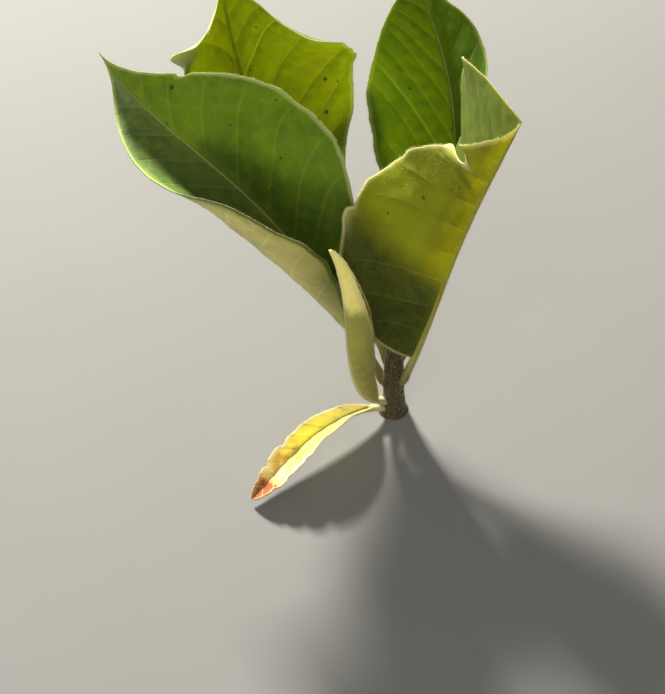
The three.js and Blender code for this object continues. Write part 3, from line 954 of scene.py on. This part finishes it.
def withered_finish(name, length, under):
    """Cream and bright yellow near the stem, brown spots further out, red-brown at the tip."""
    paints = WITHERED_PAINTS
    skin = Finish(name)
    run = skin.own("along")
    edge = skin.own("edge")
    flat = skin.laid_flat(run, skin.own("across"))
    patches = skin.clouds(flat, 8)
    mottle = skin.clouds(flat, 2.2, 4.0)
    way = run * (1 / length) + (patches - 0.5) * 0.2
    side_vein = skin.own("number").to_line(skin.own("gap")).line(0.05, 0.45)
    blotches = skin.clouds(flat, 5).ramp(0.44, 0.56)
    colour = skin.tint(way.ramp(0.25, 0.5), paints["foot"], paints["blade"])
    colour = skin.tint(way.ramp(0.56, 0.66) * (blotches * 0.8 + 0.1), colour, paints["blotch"])
    colour = skin.tint(way.ramp(0.68, 0.76) * (0.9 - blotches * 0.6), colour, paints["dry"])
    colour = skin.tint(way.ramp(0.82, 0.89), colour, paints["tip"])
    colour = skin.tint(mottle.ramp(0.5, 0.75) * 0.3, colour, paints["mottle"])
    colour = skin.tint(side_vein * 0.35, colour, paints["vein"])
    colour = skin.tint(edge.line(0.6, 2.2) * (0.95 - way.ramp(0.75, 0.9) * 0.7), colour, paints["margin"])
    height = side_vein * (1.0 if under else -1.0) + mottle * 0.9
    share = (0.45 - way.ramp(0.5, 0.7) * 0.33) * (1 - edge.line(0.6, 2.2) * 0.5)
    return skin.close(colour, patches * 0.2 + 0.5, height, 0.3, 0.1, paints["glow"], share)


withered = LEAVES[5]
sheet = draw_blade(withered, WITHERED_MAKE, SMALL_ROWS, SMALL_COLUMNS)
upper = withered_finish("withered_leaf_upper_skin", withered["length"], False)
lower = withered_finish("withered_leaf_lower_skin", withered["length"], True)
finish_blade(sheet, withered, [upper, upper, lower, lower])

# The young leaves: two leaves in the heart that haven't opened yet. Each is a thin sheet wound
# more than once round itself to a spindle, fresh green and downy, standing on the stem's tip.
YOUNG_ROWS = 90
YOUNG_COLUMNS = 80
YOUNG_TURNS = 1.45
YOUNG_THICKNESS = 0.25
SPINDLE_SPAN = (0.22, 0.96)
SPINDLE_FULLNESS = 0.8
SPINDLE_FLATNESS = 0.8
SPINDLE_TWIST = 1.2
SPINDLE_HOLLOW = 0.72
YOUNG_PAINTS = {
    "light": "#7c9a2c",
    "dark": "#64861f",
    "foot": "#b3bb5c",
    "vein": "#a9b858",
    "margin": "#cdcd8a",
    "glow": "#a2b020",
}
YOUNG_LEAVES = [
    {"name": "young_leaf_tall", "foot": (-1.7, 4.2, 38), "tip": (-1.5, 8, 74), "radius": 2.1},
    {"name": "young_leaf_short", "foot": (1.4, 4.2, 38), "tip": (3.6, 3.4, 53), "radius": 1.5},
]


def young_finish():
    """Fresh green with paler veins and margin, paler still at the foot."""
    paints = YOUNG_PAINTS
    skin = Finish("young_skin")
    place = skin.place()
    share = skin.own("share")
    edge = skin.own("edge")
    patches = skin.clouds(place, 6)
    vein = skin.own("number").to_line(4.0).line(0.1, 0.5)
    colour = skin.tint(patches.ramp(0.35, 0.7), paints["light"], paints["dark"])
    colour = skin.tint(share.line(0.1, 0.5) * 0.5, colour, paints["foot"])
    colour = skin.tint(vein * 0.35, colour, paints["vein"])
    colour = skin.tint(edge.line(0.1, 0.5) * 0.7, colour, paints["margin"])
    relief = vein + patches * 0.4
    return skin.close(colour, patches * 0.1 + 0.45, relief, 0.15, 0.2, paints["glow"], 0.35)


def young_surface(young, share, wound):
    """Points of the wound sheet, from foot to tip and from its inner to its outer edge."""
    foot = np.array(young["foot"])
    length = np.linalg.norm(np.array(young["tip"]) - foot)
    ahead = (np.array(young["tip"]) - foot) / length
    across = np.cross((0, 1, 0), ahead)
    across /= np.linalg.norm(across)
    up = np.cross(ahead, across)
    first, last = SPINDLE_SPAN
    swell = np.sin(math.pi * (first + (last - first) * share)) ** SPINDLE_FULLNESS
    radius = young["radius"] * swell * (SPINDLE_HOLLOW + (1 - SPINDLE_HOLLOW) * wound)
    turn = 2 * math.pi * YOUNG_TURNS * wound + share * SPINDLE_TWIST
    offset = across * (np.cos(turn) * radius)[:, None]
    offset = offset + up * (np.sin(turn) * radius * SPINDLE_FLATNESS)[:, None]
    return foot + ahead * (share * length)[:, None] + offset, offset, swell


young_skin = young_finish()
for young in YOUNG_LEAVES:
    sheet = new_sheet(f"{young['name']}_roll", YOUNG_ROWS, YOUNG_COLUMNS)
    start = points_of(sheet)
    share = (start[:, 0] + 1) / 2
    wound = (start[:, 1] + 1) / 2
    point, offset, swell = young_surface(young, share, wound)
    put_points(sheet, point)
    add_values(sheet, share=share, edge=(1 - wound) * 12 * swell, number=share * 9 + wound * 2)
    sheet.data.materials.append(young_skin)
    thicken(sheet, YOUNG_THICKNESS)
    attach(sheet, "root")
    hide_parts(young["name"])

# The down: soft pale hairs all over the young plant, closest on stem, petioles and undersides and
# in a fringe round every blade. Each is one slim living cell, here one three-sided cone, copied
# thousands of times into a single piece for each leaf and one for the stem.
HAIR_THICKNESS = 0.04
FRINGE_GAP = 0.2
UNDERSIDE_HAIR = 0.7
RIB_HAIR = 0.9
LEAF_DOWN = {
    "left_leaf": {"fringe": 0.95, "left": 3600, "right": 700, "rib": 2600},
    "back_left_leaf": {"fringe": 0.85, "left": 700, "right": 700, "rib": 1500},
    "back_leaf": {"fringe": 0.85, "left": 700, "right": 700, "rib": 1500},
    "right_leaf": {"fringe": 0.9, "left": 900, "right": 1500, "rib": 2400},
    "rolled_leaf": {"fringe": 0.8, "left": 1500, "right": 1500, "rib": 1600},
    "withered_leaf": {"fringe": 0.8, "left": 500, "right": 400, "rib": 1200},
}
STEM_DOWN = 2600
YOUNG_DOWN = 900


def hair_finish():
    """Clear, pale hairs that light up when the light comes from behind."""
    skin = Finish("down_skin")
    clouds = skin.clouds(skin.place(), 3)
    colour = skin.tint(clouds.ramp(0.3, 0.7), "#d6d09a", "#eae6bf")
    return skin.close(colour, clouds * 0.2 + 0.4, clouds, 0.01, 0.1, "#e6e0a8", 0.4)


def grow_hairs(name, roots, ways, lengths, skin):
    """Joins copies of one slim cone into a piece: one at each root, standing in its own way."""
    bpy.ops.mesh.primitive_cone_add(vertices=3, radius1=1, radius2=0, depth=1, end_fill_type="NGON")
    down = just_made(name)
    cone = points_of(down) + (0, 0, 0.5)
    faces = np.array([corner for face in down.data.polygons for corner in face.vertices]).reshape(-1, 3)
    ways = ways / np.linalg.norm(ways, axis=1)[:, None]
    first = np.cross(ways, (0.31, 0.52, 0.79))
    first /= np.linalg.norm(first, axis=1)[:, None]
    second = np.cross(ways, first)
    places = roots[:, None] + first[:, None] * (cone[None, :, :1] * HAIR_THICKNESS)
    places = places + second[:, None] * (cone[None, :, 1:2] * HAIR_THICKNESS)
    places = places + ways[:, None] * (cone[None, :, 2:] * lengths[:, None, None])
    corners = faces[None] + np.arange(len(roots))[:, None, None] * len(cone)
    joined = bpy.data.meshes.new(name)
    joined.from_pydata(places.reshape(-1, 3) * MM, [], corners.reshape(-1, 3).tolist())
    down.data = joined
    down.data.materials.append(skin)
    bpy.ops.object.shade_smooth()
    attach(down, "root")


def fringe(leaf, make, key, length, chance):
    """Roots and ways of the hairs round one half's margin."""
    count = int(leaf["length"] / FRINGE_GAP)
    share = np.sort(chance.uniform(leaf["petiole"], 0.998, count))
    point, face, values = blade_surface(leaf, make, key, share, np.ones(count))
    inside, face, values = blade_surface(leaf, make, key, share, np.full(count, 0.97))
    way = point - inside
    way /= np.maximum(np.linalg.norm(way, axis=1), 1e-6)[:, None]
    way = way + face * chance.uniform(-0.6, 0.4, (count, 1)) + chance.normal(0, 0.25, (count, 3))
    return point - face * BLADE_THICKNESS / 2, way, length * chance.uniform(0.6, 1.2, count)


def underside_down(leaf, make, key, count, length, chance):
    """Roots and ways of the hairs on one half's underside."""
    share = leaf["petiole"] + (0.99 - leaf["petiole"]) * chance.random(count) ** 1.2
    point, face, values = blade_surface(leaf, make, key, share, np.sqrt(chance.random(count)))
    way = -face + chance.normal(0, 0.45, (count, 3))
    return point - face * BLADE_THICKNESS, way, length * chance.uniform(0.5, 1.1, count)


def rib_down(leaf, count, length, chance):
    """Roots and ways of the hairs on a petiole and midrib, mostly below and near the stem."""
    share = 0.9 * chance.random(count) ** 1.6
    turn = chance.uniform(-math.pi, math.pi, count)
    centre, point = rib_surface(leaf, share, turn)
    way = (point - centre) / np.linalg.norm(point - centre, axis=1)[:, None]
    way = way + chance.normal(0, 0.3, (count, 3))
    return point, way, length * chance.uniform(0.5, 1.1, count)


down_skin = hair_finish()
MAKES = {**BLADES, "rolled_leaf": ROLLED_MAKE, "withered_leaf": WITHERED_MAKE}
SLOTS = {name: tones["slot"] for name, tones in TONES.items()}
SLOTS.update(rolled_leaf="leaf_rolled", withered_leaf="leaf_withered")
for number, leaf in enumerate(LEAVES):
    name = leaf["name"]
    chance = np.random.default_rng(100 + number)
    down = LEAF_DOWN[name]
    make = MAKES[name]
    grown = [rib_down(leaf, down["rib"], RIB_HAIR, chance)]
    for key in ("left", "right"):
        grown.append(fringe(leaf, make, key, down["fringe"], chance))
        grown.append(underside_down(leaf, make, key, down[key], UNDERSIDE_HAIR, chance))
    roots, ways, lengths = (np.concatenate(column) for column in zip(*grown))
    grow_hairs(f"{name}_down", roots, ways, lengths, down_skin)

chance = np.random.default_rng(200)
height = STEM_HEIGHT * chance.uniform(0.02, 0.97, STEM_DOWN)
turn = chance.uniform(-math.pi, math.pi, STEM_DOWN)
middle, roots = stem_surface(height, turn)
ways = (roots - middle) / np.linalg.norm(roots - middle, axis=1)[:, None]
ways = ways + chance.normal(0, 0.3, (STEM_DOWN, 3))
grow_hairs("stem_down", roots, ways, chance.uniform(0.5, 1.1, STEM_DOWN), down_skin)
for young in YOUNG_LEAVES:
    share = chance.uniform(0.02, 0.98, YOUNG_DOWN)
    point, offset, swell = young_surface(young, share, chance.uniform(0.35, 1, YOUNG_DOWN))
    ways = offset / np.linalg.norm(offset, axis=1)[:, None] + chance.normal(0, 0.35, (YOUNG_DOWN, 3))
    lengths = chance.uniform(0.4, 0.8, YOUNG_DOWN)
    grow_hairs(f"{young['name']}_down", point, ways, lengths, down_skin)

# The floor, the light and the camera: a plain pale floor, a soft light low at the back, so that
# the leaves glow, a broad weak one in front, and the photograph's view from above.
FLOOR_SIZE = 30
FLOOR_HEIGHT = -0.0002
LIGHT_TARGET = (-0.02, 0.02, 0.07)
KEY_LAMP = {"turn": 114, "rise": 33, "distance": 1.4, "size": 0.2, "power": 85}
FILL_LAMP = {"turn": 250, "rise": 35, "distance": 1.2, "size": 1.0, "power": 9}
WORLD_LIGHT = 0.3
VIEW_TARGET = (-25.4, 19.6, 16.5)
VIEW_RISE = 50
VIEW_DISTANCE = 680
PIXEL = 0.42
PICTURE_HEIGHT = 694
SENSOR = 36


def floor_finish():
    stone = Finish("pale_floor")
    grain = stone.clouds(stone.place(), 60)
    colour = stone.tint(grain, "#757470", "#787773")
    return stone.close(colour, grain * 0.05 + 0.8, grain, 0.05, 0.0, gloss=0.0)


def soft_light(name, setting, colour):
    """A square lamp, turned to the middle of the plant. Its distance and size are in metres."""
    lamp = bpy.data.lights.new(name, "AREA")
    lamp.shape = "SQUARE"
    lamp.size = setting["size"]
    lamp.energy = setting["power"]
    lamp.color = colour
    holder = bpy.data.objects.new(name, lamp)
    bpy.context.scene.collection.objects.link(holder)
    turn = math.radians(setting["turn"])
    rise = math.radians(setting["rise"])
    way = Vector((math.cos(rise) * math.cos(turn), math.cos(rise) * math.sin(turn), math.sin(rise)))
    holder.location = Vector(LIGHT_TARGET) + way * setting["distance"]
    holder.rotation_euler = way.to_track_quat("Z", "Y").to_euler()


bpy.ops.mesh.primitive_plane_add(size=FLOOR_SIZE, location=(0, 0, FLOOR_HEIGHT))
floor = just_made("floor")
floor.data.materials.append(floor_finish())

soft_light("key", KEY_LAMP, (1.0, 0.98, 0.93))
soft_light("fill", FILL_LAMP, (1.0, 1.0, 0.98))
world = bpy.data.worlds.new("studio")
world.use_nodes = True
world.node_tree.nodes["Background"].inputs["Color"].default_value = (1.0, 0.99, 0.96, 1)
world.node_tree.nodes["Background"].inputs["Strength"].default_value = WORLD_LIGHT
bpy.context.scene.world = world
bpy.context.scene.view_settings.view_transform = "Standard"

eye = bpy.data.cameras.new("eye")
eye.sensor_width = SENSOR
eye.lens = VIEW_DISTANCE / PIXEL * SENSOR / PICTURE_HEIGHT
eye.clip_start = 0.01
viewer = bpy.data.objects.new("eye", eye)
bpy.context.scene.collection.objects.link(viewer)
rise = math.radians(VIEW_RISE)
back = Vector((0, -math.cos(rise), math.sin(rise)))
viewer.location = (Vector(VIEW_TARGET) + back * VIEW_DISTANCE) * MM
viewer.rotation_euler = (math.pi / 2 - rise, 0, 0)
bpy.context.scene.camera = viewer
